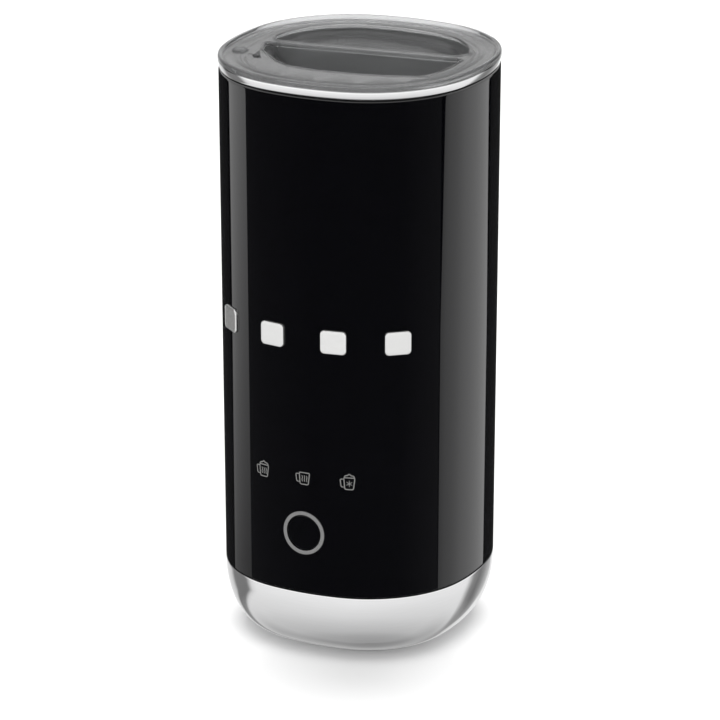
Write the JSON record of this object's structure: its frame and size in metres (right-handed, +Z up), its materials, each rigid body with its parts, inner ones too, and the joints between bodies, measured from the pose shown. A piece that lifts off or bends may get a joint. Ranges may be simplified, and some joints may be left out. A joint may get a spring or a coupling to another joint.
{
  "type": "milk frother",
  "caption": "Tall cordless electric milk frother with a black soft-square body, bright bowl base and rim, a clear lid with a grip blade, a push button and a magnetic whisk.",
  "frame": {"origin": "centre of the four feet on the surface the frother stands on", "axes": "+Z up along the body; the front with the button faces -Y; +X to the right as seen from the front"},
  "size_m": [0.0974, 0.0974, 0.2157],
  "materials": {
    "black_gloss": "high-gloss black",
    "chrome": "polished plated metal",
    "satin_metal": "satin grey metal",
    "bright_metal": "bright satin metal",
    "printed_grey": "pale grey printed ink",
    "black_matte": "fine matte black",
    "rubber": "soft black rubber",
    "silicone": "translucent grey silicone",
    "smoke_clear": "clear smoky moulded plastic",
    "brushed_steel": "brushed stainless steel",
    "spring_steel": "bright stainless wire",
    "screw_steel": "zinc-plated steel",
    "zinc_steel": "zinc-plated sheet steel",
    "aluminium": "bare aluminium",
    "brass": "bright brass",
    "bronze": "sintered bronze",
    "magnet": "nickel-plated magnet",
    "ferrite": "dark ferrite",
    "copper_core": "wound copper on a steel core",
    "white_plastic": "natural white plastic",
    "frame_plastic": "grey moulded plastic",
    "board_green": "green solder mask",
    "transformer_yellow": "yellow tape and grey core",
    "capacitor_sleeve": "dark blue sleeve",
    "relay_blue": "blue relay case",
    "led_white": "white light",
    "clear_guide": "clear light guide",
    "lead_red": "red sleeve",
    "lead_black": "black insulation",
    "lead_brown": "brown insulation",
    "ribbon_grey": "grey flat cable"
  },
  "bodies": {
    "body": {"outer_shell": "black_gloss", "chrome_base": "chrome", "rim_ring": "chrome", "button_ring": "satin_metal", "badge_tiles": "bright_metal", "mode_icons": "printed_grey", "bottom_plate": "black_matte", "rubber_feet": "rubber", "base_screws": "screw_steel", "connector_socket": "black_matte", "contact_rings": "brass", "jug": "brushed_steel", "jug_gasket": "silicone", "spindle": "brushed_steel", "heater_plate": "aluminium", "heater_element": "aluminium", "thermostat": "white_plastic", "thermal_fuse": "white_plastic", "temperature_sensor": "white_plastic", "element_clamp": "spring_steel", "motor_can": "zinc_steel", "motor_end_cap": "white_plastic", "motor_terminals": "brass", "shaft_bushes": "bronze", "stator_magnets": "ferrite", "motor_bracket": "zinc_steel", "motor_grommets": "rubber", "bracket_screws": "screw_steel", "motor_screws": "screw_steel", "inner_frame": "frame_plastic", "frame_screws": "screw_steel", "power_board": "board_green", "board_screws": "screw_steel", "transformer": "transformer_yellow", "capacitors": "capacitor_sleeve", "relay": "relay_blue", "fuse_link": "white_plastic", "control_board": "board_green", "tact_switch": "black_matte", "mode_leds": "led_white", "light_guide": "clear_guide", "heater_leads": "lead_red", "motor_leads": "lead_black", "supply_leads": "lead_brown", "ribbon_cable": "ribbon_grey"},
    "lid": {"lid": "smoke_clear", "lid_seal": "silicone"},
    "button": {"button_cap": "black_gloss", "switch_plunger": "white_plastic"},
    "rotor": {"rotor_core": "copper_core", "motor_shaft": "spring_steel", "magnet_carrier": "white_plastic", "drive_magnets": "magnet"},
    "whisk": {"whisk_hub": "black_matte", "whisk_coil": "spring_steel", "whisk_magnets": "magnet"}
  },
  "joints": [
    {"name": "lid_lift", "type": "slide", "parent": "body", "child": "lid", "axis": [0, 0, 1], "range_m": [0, 0.08]},
    {"name": "button_press", "type": "slide", "parent": "body", "child": "button", "axis": [0, 1, 0], "range_m": [0, 0.0008], "stiffness_N_per_m": 900, "springref_m": -0.0008},
    {"name": "rotor_spin", "type": "hinge", "parent": "body", "child": "rotor", "pos_m": [0, 0, 0.1], "axis": [0, 0, 1], "continuous": true},
    {"name": "whisk_spin", "type": "hinge", "parent": "body", "child": "whisk", "pos_m": [0, 0, 0.12], "axis": [0, 0, 1], "continuous": true}
  ],
  "couplings": [
    {"joint": "whisk_spin", "follows": "rotor_spin", "ratio": 1}
  ]
}
